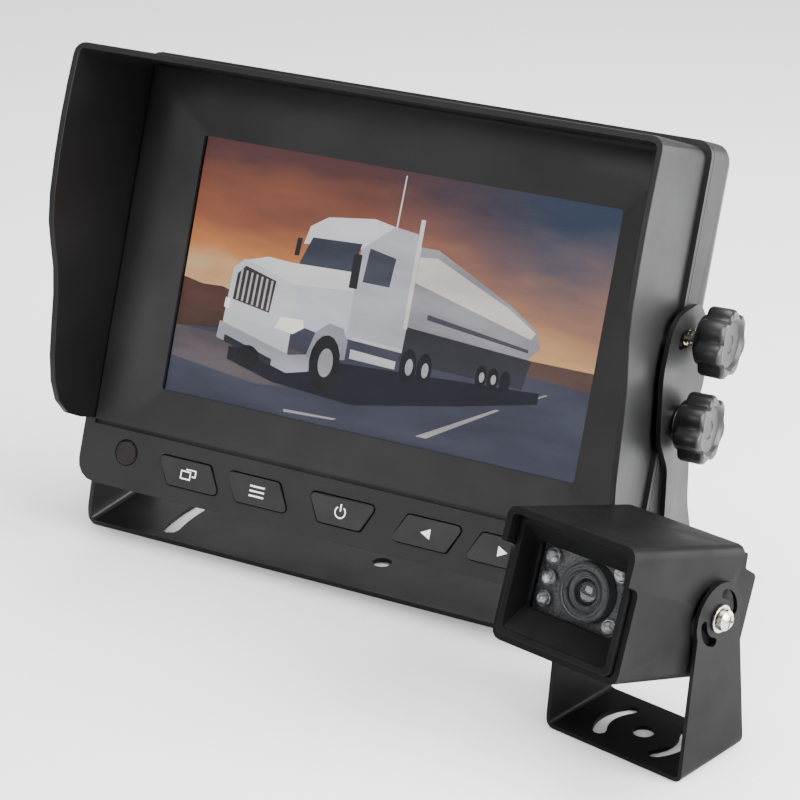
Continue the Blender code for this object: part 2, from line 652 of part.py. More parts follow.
def front_frame(tilt, finish):
    half = SHELL_HALF - SHELL_WALL - GAP
    top = SHELL_TOP - SHELL_WALL - GAP
    bottom = SHELL_BOTTOM + SHELL_WALL + GAP
    obj = place(slab([rectangle(-half, half, bottom, top, 0.0015, 2)], "XZ", FRAME_FRONT, -0.0305),
                "front_frame", tilt, finish=finish)
    rim = 0.0018
    front = rectangle(-half + rim, half - rim, bottom + rim, top - rim, 0.0012, 2)
    back = rectangle(-WINDOW_HALF, WINDOW_HALF, WINDOW_BOTTOM, WINDOW_TOP, 0.0008, 2)
    cut(obj, loft([[(u, FRAME_FRONT - 0.001, v) for u, v in front],
                   [(u, FRAME_FRONT + 0.0006, v) for u, v in front],
                   [(u, -0.0355, v) for u, v in back],
                   [(u, -0.0330, v) for u, v in back]]))
    pocket = rectangle(-0.0195, 0.0195, -0.0108, 0.0125, 0.001, 2)
    cut(obj, slab([pocket], "XZ", -0.0352, -0.0280))
    return obj


def camera_optics(tilt, finishes):
    place(block((-0.0188, -0.0349, -0.0101), (0.0188, -0.0338, 0.0118), 0.0002),
          "window_glass", tilt, finish=finishes["glass"])
    seal = (rectangle(-0.0190, 0.0190, -0.0103, 0.0120, 0.0012, 2),
            rectangle(-0.0176, 0.0176, -0.0090, 0.0107, 0.0008, 2))
    place(slab(seal, "XZ", -0.0335, -0.0323), "window_seal", tilt, finish=finishes["rubber"])
    board = place(slab([rectangle(-0.0186, 0.0186, -0.0099, 0.0116, 0.001, 2)], "XZ", -0.0295, -0.0283),
                  "led_board", tilt, finish=finishes["pcb"])
    cut(board, rod(0.0090, -0.0350, -0.0200, "+Y", 24), (0, 0, LENS_Z))
    dome = ((0, 0.0328), (0.0013, 0.0323), (0.0019, 0.0308), (0.0019, 0.0290), (0, 0.0290))
    for x, z in LEDS:
        join(board, turned(dome, "-Y", 8), (x, 0, z))
    barrel = ((0, 0.0285), (0.0036, 0.0285), (0.0040, 0.0298), (0.0070, 0.0312), (0.0078, 0.0331),
              (0.0086, 0.0331), (0.0086, 0.0270), (0.0060, 0.0262), (0.0060, 0.0180), (0, 0.0180))
    smooth(place(turned(barrel, "-Y", 28), "lens_barrel", tilt, (0, 0, LENS_Z), finishes["knob"]))
    dome = ((0, 0.0312), (0.0012, 0.0310), (0.0024, 0.0302), (0.0031, 0.0289), (0, 0.0289))
    smooth(place(turned(dome, "-Y", 20), "lens_glass", tilt, (0, 0, LENS_Z), finishes["glass"]))
    place(block((-0.0140, -0.0175, -0.0130), (0.0140, -0.0161, 0.0110)),
          "sensor_board", tilt, finish=finishes["pcb"])


def rear_cover(tilt, finish):
    start = SHELL_REAR + GAP
    side_view = rounded(((start, -0.0176, 0.001), (0.0182, -0.0176, 0.003), (COVER_REAR, -0.0100, 0.004),
                         (COVER_REAR, 0.0110, 0.002), (0.0150, 0.0130, 0.001), (0.0142, 0.0178, 0.001),
                         (start, 0.0182, 0.001)), 3)
    obj = place(slab([side_view], "YZ", -0.0208, 0.0208), "rear_cover", tilt, finish=finish)
    cut(obj, block((-0.0182, 0.0060, -0.0152), (0.0182, 0.0126, 0.0156)))
    cut(obj, block((-0.0182, 0.0060, -0.0152), (0.0182, 0.0178, 0.0085)))
    cut(obj, rod(0.0043, 0.0160, 0.0300, "+Y", 20), (0, 0, -0.0030))
    for x, z in cover_screw_places():
        cut(obj, rod(0.0015, 0.0160, 0.0300, "+Y", 10), (x, 0, z))
    return obj


def cover_screw_places():
    return [(x, z) for z in (-0.0060, 0.0050) for x in (-0.0160, 0.0160)]


def camera_fasteners(tilt, finishes):
    gland = ((0, 0.0295), (0.0026, 0.0295), (0.0032, 0.0290), (0.0050, 0.0268), (0.0060, 0.0262),
             (0.0062, 0.0218), (0.0040, 0.0218), (0.0040, 0.0165), (0, 0.0165))
    smooth(place(turned(gland, "+Y", 18), "cable_gland", tilt, (0, 0, -0.0030), finishes["rubber"]))
    screw = ((0, 0.0231), (0.0016, 0.0229), (0.0022, 0.0218), (0.0012, 0.0218), (0.0012, 0.0172), (0, 0.0172))
    for number, (x, z) in enumerate(cover_screw_places(), 1):
        smooth(place(turned(screw, "+Y", 10), f"cover_screw_{number}", tilt, (x, 0, z), finishes["nickel"]))
    for side, side_name in ((-1, "left"), (1, "right")):
        towards = "+X" if side > 0 else "-X"
        washer = tube(0.0021, 0.0042, CAM_ARM_X + GAP, CAM_ARM_X + 0.0010, towards, 20)
        smooth(place(washer, f"pivot_washer_{side_name}", tilt, finish=finishes["nickel"]))
        head_start = CAM_ARM_X + 0.0013
        pan = turned(((0, head_start + 0.0024), (0.0020, head_start + 0.0023), (0.0031, head_start + 0.0014),
                      (0.0033, head_start), (0.0018, head_start), (0.0018, 0.0192), (0, 0.0188)), towards, 16)
        obj = place(pan, f"pivot_screw_{side_name}", tilt, finish=finishes["nickel"])
        middle = side * (head_start + 0.0026)
        for size in ((0.0012, 0.0019, 0.0004), (0.0012, 0.0004, 0.0019)):
            low = (middle - size[0], -size[1], -size[2])
            high = (middle + size[0], size[1], size[2])
            cut(obj, block(low, high))


# ---------------------------------------------------------------- the kit
def finishes_of_kit():
    return {
        "case": material("case_plastic", (0.045, 0.045, 0.046), 0.55),
        "hood": material("hood_plastic", (0.035, 0.035, 0.036), 0.60),
        "button": material("button_plastic", (0.030, 0.030, 0.032), 0.50),
        "knob": material("knob_plastic", (0.028, 0.028, 0.030), 0.42),
        "powder": material("bracket_powder_coat", (0.022, 0.022, 0.024), 0.45, 0.2),
        "nickel": material("nickel_plate", (0.62, 0.60, 0.56), 0.28, 1.0),
        "brass": material("insert_brass", (0.60, 0.46, 0.22), 0.35, 1.0),
        "steel": material("tray_steel", (0.50, 0.51, 0.52), 0.40, 1.0),
        "glass": material("clear_glass", (0.10, 0.10, 0.11), 0.08, 0.0, 0.5),
        "lcd": material("lcd_face", (0.10, 0.11, 0.13), 0.15),
        "pcb": material("circuit_board", (0.03, 0.14, 0.07), 0.50),
        "rubber": material("black_rubber", (0.02, 0.02, 0.02), 0.80),
        "camera": material("camera_enamel", (0.026, 0.026, 0.028), 0.48),
    }


def build():
    clear_scene()
    finishes = finishes_of_kit()
    kit = empty("kit", location=KIT_SHIFT)

    monitor = empty("monitor", kit)
    monitor_bracket(monitor, finishes["powder"])
    head_tilt = empty("head_tilt", monitor, PIVOT, (-HEAD_TILT, 0, 0))
    head = empty("screen_frame", head_tilt, -PIVOT_IN_HEAD)
    front_bezel(head, finishes["case"])
    rear_case(head, finishes["case"])
    sun_hood(head, finishes["hood"])
    display_stack(head, finishes)
    boards(head, finishes)
    receiver_window(head, finishes["lcd"])
    input_socket(head, finishes["rubber"])
    case_screws(head, finishes["nickel"])
    buttons(head, finishes["button"])
    clamp_knobs(head, finishes)

    camera = empty("camera", kit, CAMERA_PLACE, (0, 0, CAMERA_TURN))
    camera_bracket(camera, finishes["powder"])
    camera_tilt = empty("camera_tilt", camera, (0, 0, CAMERA_PIVOT_Z), (-CAMERA_TILT, 0, 0))
    camera_shell(camera_tilt, finishes["camera"])
    front_frame(camera_tilt, finishes["camera"])
    camera_optics(camera_tilt, finishes)
    rear_cover(camera_tilt, finishes["camera"])
    camera_fasteners(camera_tilt, finishes)


build()
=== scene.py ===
"""Finishes for the backup camera kit: a hooded dash monitor on its bracket, and its camera."""

import math

import bmesh
import bpy
from mathutils import Matrix, Vector


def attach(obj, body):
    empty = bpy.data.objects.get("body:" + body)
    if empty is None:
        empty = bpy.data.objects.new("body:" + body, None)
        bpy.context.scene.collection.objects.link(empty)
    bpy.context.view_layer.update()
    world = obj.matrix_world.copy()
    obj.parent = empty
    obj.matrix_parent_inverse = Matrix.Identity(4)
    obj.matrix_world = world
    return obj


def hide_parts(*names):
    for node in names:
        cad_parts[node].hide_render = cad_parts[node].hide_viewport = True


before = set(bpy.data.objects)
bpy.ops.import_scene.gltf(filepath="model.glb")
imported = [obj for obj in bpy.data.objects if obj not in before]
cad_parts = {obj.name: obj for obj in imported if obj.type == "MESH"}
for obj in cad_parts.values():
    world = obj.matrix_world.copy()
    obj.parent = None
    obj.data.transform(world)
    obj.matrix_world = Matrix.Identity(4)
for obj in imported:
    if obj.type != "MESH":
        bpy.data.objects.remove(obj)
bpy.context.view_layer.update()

# Where the monitor head and the camera head stand, in metres
KIT = Vector((-0.016427, 0.032347, 0.0))
HEAD_PIVOT = Vector((0.0, -0.00135, 0.0755))
PIVOT_IN_HEAD = Vector((0.0, 0.0044, -0.0182))
HEAD_TILT = math.radians(20.8)
CAMERA_PLACE = Vector((0.1228, -0.0585, 0.0))
CAMERA_TURN = math.radians(-12.5)
CAMERA_TILT = math.radians(19.0)
CAMERA_PIVOT_Z = 0.0480

SCREEN = (Matrix.Translation(KIT + HEAD_PIVOT) @ Matrix.Rotation(-HEAD_TILT, 4, "X")
          @ Matrix.Translation(-PIVOT_IN_HEAD))
CAMERA = (Matrix.Translation(KIT + CAMERA_PLACE) @ Matrix.Rotation(CAMERA_TURN, 4, "Z")
          @ Matrix.Translation((0, 0, CAMERA_PIVOT_Z)) @ Matrix.Rotation(-CAMERA_TILT, 4, "X"))

STUD_SPACING = 0.0267
ARM_X = 0.1052
BACKED_OFF = 0.0014
SCREEN_HALF_W = 0.0770
SCREEN_HALF_H = 0.0433
PANEL_Y = 0.00262
LAYER_STEP = 0.000008
LAYER_THICK = 0.000005
LEGEND_FRONT = -0.00403
LEGEND_BACK = -0.00397
LENS_Z = 0.0008
LEDS = ((-0.0143, 0.0070), (-0.0143, 0.0007), (-0.0143, -0.0056), (0.0142, 0.0078),
        (0.0142, 0.0014), (0.0142, -0.0050), (0.0096, 0.0090), (0.0096, -0.0068))
KEY_X = {"mode_button": -0.0585, "menu_button": -0.0317, "power_button": 0.0,
         "left_button": 0.0317, "right_button": 0.0585}
KEY_Z = -0.0686
CORNERS = ("left_upper", "left_lower", "right_upper", "right_lower")


# ---------------------------------------------------------------- finishes
class Finish:
    """A Principled finish, with the small variation that its surface shows."""

    def __init__(self, name, colour, roughness, metallic=0.0, specular=0.5):
        self.made = bpy.data.materials.new(name)
        self.made.use_nodes = True
        self.tree = self.made.node_tree
        self.shader = self.tree.nodes["Principled BSDF"]
        self.colour = colour
        self.set("Base Color", (*colour, 1.0))
        self.set("Roughness", roughness)
        self.set("Metallic", metallic)
        self.set("Specular IOR Level", specular)
        self.roughness = roughness
        self.normal = None

    def set(self, socket, value):
        self.shader.inputs[socket].default_value = value
        return self

    def node(self, kind, **inputs):
        made = self.tree.nodes.new(kind)
        for key, value in inputs.items():
            made.inputs[key.replace("_", " ")].default_value = value
        return made

    def link(self, out, into):
        self.tree.links.new(out, into)

    def noise(self, scale, detail=3.0, stretch=(1, 1, 1)):
        where = self.node("ShaderNodeTexCoord")
        mapping = self.node("ShaderNodeMapping", Scale=stretch)
        noise = self.node("ShaderNodeTexNoise", Scale=scale, Detail=detail, Roughness=0.55)
        self.link(where.outputs["Object"], mapping.inputs["Vector"])
        self.link(mapping.outputs["Vector"], noise.inputs["Vector"])
        return noise.outputs["Fac"]

    def ranged(self, value, low, high, to_low, to_high):
        remap = self.node("ShaderNodeMapRange")
        sockets = ("From Min", "From Max", "To Min", "To Max")
        for socket, number in zip(sockets, (low, high, to_low, to_high)):
            remap.inputs[socket].default_value = number
        self.link(value, remap.inputs["Value"])
        return remap.outputs["Result"]

    def grain(self, scale, depth, strength=0.5, detail=3.0, stretch=(1, 1, 1)):
        """A fine relief: moulded texture, powder coat or brushing."""
        bump = self.node("ShaderNodeBump", Strength=strength, Distance=depth)
        self.link(self.noise(scale, detail, stretch), bump.inputs["Height"])
        if self.normal:
            self.link(self.normal, bump.inputs["Normal"])
        self.normal = bump.outputs["Normal"]
        self.link(self.normal, self.shader.inputs["Normal"])
        return self

    def handled(self, scale=28.0, spread=0.08):
        """Patches that are a little shinier where hands have been."""
        value = self.ranged(self.noise(scale, 4.0), 0.35, 0.65,
                            max(self.roughness - spread, 0.02), self.roughness + spread)
        self.link(value, self.shader.inputs["Roughness"])
        return self

    def mottled(self, scale, amount, tint=None):
        """Colour that drifts between the base colour and a lighter one."""
        lighter = tint or tuple(min(c * (1 + amount) + 0.0006, 1.0) for c in self.colour)
        mix = self.node("ShaderNodeMix")
        mix.data_type = "RGBA"
        mix.inputs[6].default_value = (*self.colour, 1.0)
        mix.inputs[7].default_value = (*lighter, 1.0)
        self.link(self.ranged(self.noise(scale, 4.0), 0.38, 0.66, 0.0, 1.0), mix.inputs[0])
        self.link(mix.outputs[2], self.shader.inputs["Base Color"])
        return self


def finishes():
    made = {}

    def keep(key, finish):
        made[key] = finish.made
        return finish

    case = keep("case", Finish("grained_case_plastic", (0.0105, 0.0105, 0.011), 0.46, 0.0, 0.17))
    case.mottled(35, 0.25).handled().grain(2600, 0.00005, 0.45).grain(900, 0.00004, 0.20)
    hood = keep("hood", Finish("grained_hood_plastic", (0.0050, 0.0050, 0.0053), 0.42, 0.0, 0.16))
    hood.mottled(30, 0.25).handled(22, 0.06).grain(2400, 0.00005, 0.35)
    key = keep("key", Finish("satin_key_plastic", (0.0065, 0.0065, 0.007), 0.36, 0.0, 0.24))
    key.mottled(120, 0.3).handled(90, 0.07).grain(3200, 0.00003, 0.25)
    knob = keep("knob", Finish("satin_knob_plastic", (0.010, 0.010, 0.0105), 0.34, 0.0, 0.34))
    knob.mottled(160, 0.3).handled(110, 0.08).grain(2800, 0.00003, 0.3)
    powder = keep("powder", Finish("bracket_powder_coat", (0.0045, 0.0045, 0.0048), 0.36, 0.0, 0.24))
    powder.mottled(60, 0.3).handled(40, 0.07).grain(1500, 0.00006, 0.4).grain(4200, 0.00002, 0.3)
    enamel = keep("enamel", Finish("camera_enamel", (0.0040, 0.0040, 0.0043), 0.46, 0.0, 0.06))
    enamel.mottled(70, 0.3).handled(60, 0.07).grain(2000, 0.00005, 0.4)
    stand = keep("stand", Finish("camera_bracket_powder_coat", (0.0040, 0.0040, 0.0043), 0.46, 0.0, 0.07))
    stand.mottled(60, 0.3).handled(40, 0.07).grain(1500, 0.00006, 0.4).grain(4200, 0.00002, 0.3)
    nickel = keep("nickel", Finish("dull_nickel", (0.66, 0.62, 0.55), 0.26, 1.0))
    nickel.mottled(700, 0.1, (0.52, 0.49, 0.44)).handled(500, 0.08).grain(2500, 0.00001, 0.2)
    brass = keep("brass", Finish("turned_brass", (0.62, 0.45, 0.20), 0.32, 1.0))
    brass.mottled(600, 0.1).handled(400, 0.06).grain(3000, 0.00001, 0.2)
    rubber = keep("rubber", Finish("moulded_rubber", (0.016, 0.016, 0.016), 0.72))
    rubber.mottled(120, 0.4).handled(80, 0.08).grain(1800, 0.00005, 0.4)
    board = keep("board", Finish("dark_solder_mask", (0.040, 0.044, 0.048), 0.45))
    board.mottled(1500, 1.2, (0.16, 0.16, 0.17)).handled(300, 0.1).grain(2600, 0.00004, 0.5)
    tray = keep("tray", Finish("backlight_frame_plastic", (0.60, 0.60, 0.58), 0.5))
    tray.mottled(50, 0.1).handled().grain(1500, 0.00003, 0.2)
    receiver = keep("receiver", Finish("receiver_resin", (0.006, 0.004, 0.005), 0.22, 0.0, 0.15))
    receiver.mottled(300, 0.5).handled(200, 0.05)
    # White legend print, plus painted glow: a faint emission makes the ink read bright whatever light falls
    # on it
    legend_with_painted_glow = keep("legend_with_painted_glow", Finish("legend_print_painted_glow", (0.80, 0.80, 0.78), 0.5))
    legend_with_painted_glow.mottled(900, 0.05).handled(400, 0.05)
    legend_with_painted_glow.set("Emission Color", (1, 1, 1, 1)).set("Emission Strength", 0.12)
    pane = keep("pane", Finish("camera_window_glass", (0.012, 0.012, 0.013), 0.05, 0.0, 0.35))
    pane.handled(60, 0.03).set("Alpha", 0.14)
    # Dark LED resin with near-white speckles mixed into its colour: these are painted glints that stand in
    # for the bright spots the domes catch
    dome = keep("dome", Finish("led_dome_resin_painted_glints", (0.16, 0.17, 0.18), 0.10, 0.0, 1.0))
    dome.mottled(650, 0.2, (0.95, 0.96, 0.98)).handled(700, 0.04).grain(900, 0.00025, 0.6)
    dome.set("Coat Weight", 1.0).set("Coat Roughness", 0.04)
    cup = keep("cup", Finish("led_reflector", (0.50, 0.50, 0.51), 0.3, 0.8))
    cup.mottled(900, 0.2).handled(500, 0.08)
    barrel = keep("barrel", Finish("lens_barrel_anodised", (0.030, 0.031, 0.033), 0.34))
    barrel.mottled(500, 0.5).handled(300, 0.08).grain(3000, 0.00002, 0.3)
    ring = keep("ring", Finish("lens_ring_grey", (0.085, 0.088, 0.092), 0.36))
    ring.mottled(500, 0.4).handled(300, 0.08).grain(2600, 0.00002, 0.3)
    optic = keep("optic", Finish("coated_lens_glass", (0.012, 0.016, 0.026), 0.03, 0.0, 0.9))
    optic.handled(300, 0.01).set("Coat Weight", 1.0).set("Coat Roughness", 0.02)
    return made


# ---------------------------------------------------------------- making pieces
def finish_piece(work, name, materials, body, replaced=(), sharp=32.0):
    """Turns a bmesh into a smooth-shaded piece that rides on its body."""
    mesh = bpy.data.meshes.new(name)
    work.to_mesh(mesh)
    work.free()
    for material in materials:
        mesh.materials.append(material)
    mesh.shade_smooth()
    mesh.set_sharp_from_angle(angle=math.radians(sharp))
    piece = bpy.data.objects.new(name, mesh)
    bpy.context.scene.collection.objects.link(piece)
    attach(piece, body)
    if replaced:
        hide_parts(*replaced)
    return piece


def dressed(node, material, body, edge=0.00025, segments=2, sharp=32.0):
    """A CAD piece with its flat facets joined and its edges softened."""
    work = bmesh.new()
    work.from_mesh(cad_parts[node].data)
    bmesh.ops.remove_doubles(work, verts=work.verts, dist=2e-6)
    bmesh.ops.dissolve_limit(work, angle_limit=math.radians(0.4), verts=work.verts, edges=work.edges)
    piece = finish_piece(work, f"{node}_finished", [material], body, (node,), sharp)
    if edge:
        soften = piece.modifiers.new("soft_edges", "BEVEL")
        soften.width = edge
        soften.segments = segments
        soften.profile = 0.5
        soften.limit_method = "ANGLE"
        soften.angle_limit = math.radians(sharp + 6)
        soften.use_clamp_overlap = True
    return piece


def lathe(work, profile, place, steps=48, material=0):
    """A turned body from (radius, depth) pairs, its depth along the local Y axis."""
    verts = [work.verts.new((radius, depth, 0.0)) for radius, depth in profile]
    edges = [work.edges.new(pair) for pair in zip(verts, verts[1:])]
    bmesh.ops.spin(work, geom=verts + edges, axis=(0, 1, 0), cent=(0, 0, 0), steps=steps,
                   angle=2 * math.pi, use_merge=True)
    return settle(work, verts, place, material)


def settle(work, seeds, place, material):
    """Merges, faces outwards and places the part of the bmesh that seeds belong to."""
    found = set()
    edge = [v for v in seeds if v.is_valid]
    while edge:
        vert = edge.pop()
        if vert in found:
            continue
        found.add(vert)
        edge.extend(e.other_vert(vert) for e in vert.link_edges)
    bmesh.ops.remove_doubles(work, verts=list(found), dist=1e-7)
    found = [v for v in found if v.is_valid]
    faces = {face for vert in found for face in vert.link_faces}
    bmesh.ops.recalc_face_normals(work, faces=list(faces))
    for face in faces:
        face.material_index = material
    bmesh.ops.transform(work, matrix=place, verts=found)
    return found


def plate(work, outline, front, back, place, material=0):
    """A thin plate in the local XZ plane, its front at depth front and its back at back."""
    verts = [work.verts.new((x, front, z)) for x, z in outline]
    face = work.faces.new(verts)
    made = bmesh.ops.extrude_face_region(work, geom=[face])
    moved = [item for item in made["geom"] if isinstance(item, bmesh.types.BMVert)]
    bmesh.ops.translate(work, vec=(0, back - front, 0), verts=moved)
    return settle(work, verts, place, material)


# ---------------------------------------------------------------- clamp knobs
KNOB_SECTIONS = (  # depth from the collar's foot, radius, share of the lobes
    (0.0000, 0.0074, 0.0), (0.0002, 0.0078, 0.0), (0.0015, 0.0079, 0.0), (0.0016, 0.0098, 0.8),
    (0.0018, 0.0105, 1.0), (0.0026, 0.0109, 1.0), (0.0088, 0.0110, 1.0), (0.0096, 0.0107, 1.0),
    (0.0101, 0.0100, 0.9), (0.0103, 0.0092, 0.5), (0.0103, 0.0084, 0.1), (0.0099, 0.0078, 0.0),
    (0.0091, 0.0070, 0.0), (0.0090, 0.0030, 0.0), (0.0087, 0.0027, 0.0))
KNOB_STEPS = 112
KNOB_LOBES = 7
LOBE_DEPTH = 0.0020
LOBE_POWER = 1.6  # above 1, the lobes are broader than the valleys


def knob(corner, made):
    """A seven-lobed grip with a stepped collar and a dished face."""
    side = -1 if corner.startswith("left") else 1
    lift, off = (STUD_SPACING, BACKED_OFF) if corner.endswith("upper") else (0.0, 0.0)
    foot = ARM_X + 0.0014 + off
    centre = Vector((side * foot, PIVOT_IN_HEAD.y, PIVOT_IN_HEAD.z + lift))
    steps = KNOB_STEPS
    work = bmesh.new()
    rings = []
    for depth, radius, lobes in KNOB_SECTIONS:
        ring = []
        for i in range(steps):
            turn = 2 * math.pi * i / steps
            dip = 0.5 * (1 - math.cos(KNOB_LOBES * turn))
            reach = radius - LOBE_DEPTH * lobes * dip ** LOBE_POWER
            ring.append(work.verts.new((side * depth, reach * math.cos(turn), reach * math.sin(turn))))
        rings.append([work.edges.new((ring[i], ring[(i + 1) % steps])) for i in range(steps)])
    seeds = list(rings[0][0].verts)
    for first, last in zip(rings, rings[1:]):
        bmesh.ops.bridge_loops(work, edges=first + last)
    bmesh.ops.holes_fill(work, edges=rings[0] + rings[-1], sides=0)
    settle(work, seeds, SCREEN @ Matrix.Translation(centre), 0)
    finish_piece(work, f"clamp_knob_{corner}", [made["knob"]], f"knob_of_{corner}",
                 (f"knob_{corner}",), 40)


def stud(corner, made):
    """A threaded stud: fine ridges, with a chamfered tip."""
    side = -1 if corner.startswith("left") else 1
    lift, off = (STUD_SPACING, BACKED_OFF) if corner.endswith("upper") else (0.0, 0.0)
    profile = [(0.0, 0.0970), (0.0015, 0.0970), (0.0018, 0.0974)]
    for turn in range(18):
        start = 0.0976 + turn * 0.0007
        profile += [(0.0020, start), (0.0017, start + 0.00035)]
    profile += [(0.0020, 0.1103), (0.0020, 0.1121), (0.0016, 0.1125), (0.0, 0.1125)]
    centre = Vector((side * off, PIVOT_IN_HEAD.y, PIVOT_IN_HEAD.z + lift))
    turned = Matrix.Rotation(-side * math.pi / 2, 4, "Z")
    work = bmesh.new()
    lathe(work, profile, SCREEN @ Matrix.Translation(centre) @ turned, 24)
    finish_piece(work, f"threaded_stud_{corner}", [made["nickel"]], f"knob_of_{corner}",
                 (f"stud_{corner}",), 50)


# ---------------------------------------------------------------- legends on the keys
def legend(name, outlines, made):
    work = bmesh.new()
    for outline in outlines:
        plate(work, [(KEY_X[name] + x / 1000, KEY_Z + z / 1000) for x, z in outline],
              LEGEND_FRONT, LEGEND_BACK, SCREEN)
    finish_piece(work, f"{name}_legend", [made["legend_with_painted_glow"]], f"{name}_key")


def arc(radius, start, end, steps):
    turns = [math.radians(start + (end - start) * i / steps) for i in range(steps + 1)]
    return [(radius * math.cos(t), radius * math.sin(t)) for t in turns]


def legends(made):
    """Plain signs: a pair of pages, three bars, the power sign, and two arrows."""
    bars = [[(-2.8, z), (2.8, z), (2.8, z + 0.55), (-2.8, z + 0.55)] for z in (-1.9, -0.3, 1.3)]
    legend("menu_button", bars, made)
    frame_sides = [[(-3.0, -1.8), (1.0, -1.8), (1.0, -1.35), (-3.0, -1.35)],
                   [(-3.0, 0.75), (1.0, 0.75), (1.0, 1.2), (-3.0, 1.2)],
                   [(-3.0, -1.3), (-2.55, -1.3), (-2.55, 0.7), (-3.0, 0.7)],
                   [(0.55, -1.3), (1.0, -1.3), (1.0, 0.7), (0.55, 0.7)],
                   [(1.5, -0.6), (3.0, -0.6), (3.0, 1.9), (-1.0, 1.9), (-1.0, 1.5), (2.55, 1.5),
                    (2.55, -0.15), (1.5, -0.15)]]
    legend("mode_button", frame_sides, made)
    power = [arc(2.1, 125, 415, 28) + arc(1.65, 415, 125, 28),
             [(-0.25, 0.3), (0.25, 0.3), (0.25, 2.7), (-0.25, 2.7)]]
    legend("power_button", power, made)
    legend("left_button", [[(-2.1, 0.0), (1.3, -1.7), (1.3, 1.7)]], made)
    legend("right_button", [[(2.1, 0.0), (-1.3, 1.7), (-1.3, -1.7)]], made)


# ---------------------------------------------------------------- the picture on the screen
def glow(name, colour, strength, drift):
    """Light from the panel, with slow drift in its tone and the panel's fine grain."""
    finish = Finish(name, (0.004, 0.004, 0.004), 0.3, 0.0, 0.04)
    finish.grain(3000, 0.00001, 0.1)
    lighter = tuple(min(c * (1 + drift), 1.0) for c in colour)
    mix = finish.node("ShaderNodeMix")
    mix.data_type = "RGBA"
    mix.inputs[6].default_value = (*colour, 1.0)
    mix.inputs[7].default_value = (*lighter, 1.0)
    finish.link(finish.ranged(finish.noise(42, 5.0, (0.6, 1, 2.4)), 0.35, 0.65, 0, 1), mix.inputs[0])
    finish.link(mix.outputs[2], finish.shader.inputs["Emission Color"])
    finish.set("Emission Strength", strength)
    return finish.made


def sky_glow():
    """An evening sky: dusty rose above, orange lower down, cream at the horizon, blue to the right."""
    finish = Finish("evening_sky", (0.004, 0.004, 0.004), 0.3, 0.0, 0.04)
    uv = finish.node("ShaderNodeUVMap")
    uv.uv_map = "picture"
    split = finish.node("ShaderNodeSeparateXYZ")
    finish.link(uv.outputs["UV"], split.inputs["Vector"])
    wave = finish.ranged(finish.noise(38, 6.0, (0.5, 1, 2.0)), 0.3, 0.7, -0.09, 0.09)
    add = finish.node("ShaderNodeMath")
    finish.link(split.outputs["Y"], add.inputs[0])
    finish.link(wave, add.inputs[1])

    def ramp(stops):
        made = finish.node("ShaderNodeValToRGB")
        bands = made.color_ramp.elements
        for _ in range(len(stops) - 2):
            bands.new(0.5)
        for band, (where, colour) in zip(bands, stops):
            band.position = where
            band.color = (*colour, 1.0)
        finish.link(add.outputs[0], made.inputs["Fac"])
        return made.outputs["Color"]

    warm = ramp(((0.40, (0.90, 0.62, 0.34)), (0.54, (0.80, 0.30, 0.10)), (0.74, (0.38, 0.13, 0.075)),
                 (0.97, (0.13, 0.055, 0.055))))
    cool = ramp(((0.40, (0.90, 0.50, 0.22)), (0.58, (0.52, 0.26, 0.17)), (0.78, (0.16, 0.13, 0.16)),
                 (0.97, (0.045, 0.065, 0.115))))
    mix = finish.node("ShaderNodeMix")
    mix.data_type = "RGBA"
    finish.link(finish.ranged(split.outputs["X"], 0.42, 0.85, 0.0, 1.0), mix.inputs[0])
    finish.link(warm, mix.inputs[6])
    finish.link(cool, mix.inputs[7])
    finish.link(mix.outputs[2], finish.shader.inputs["Emission Color"])
    finish.set("Emission Strength", 0.9)
    return finish.made


def wheel(x, z, wide, high):
    return [(x + wide * math.cos(a * math.pi / 8), z + high * math.sin(a * math.pi / 8)) for a in range(16)]


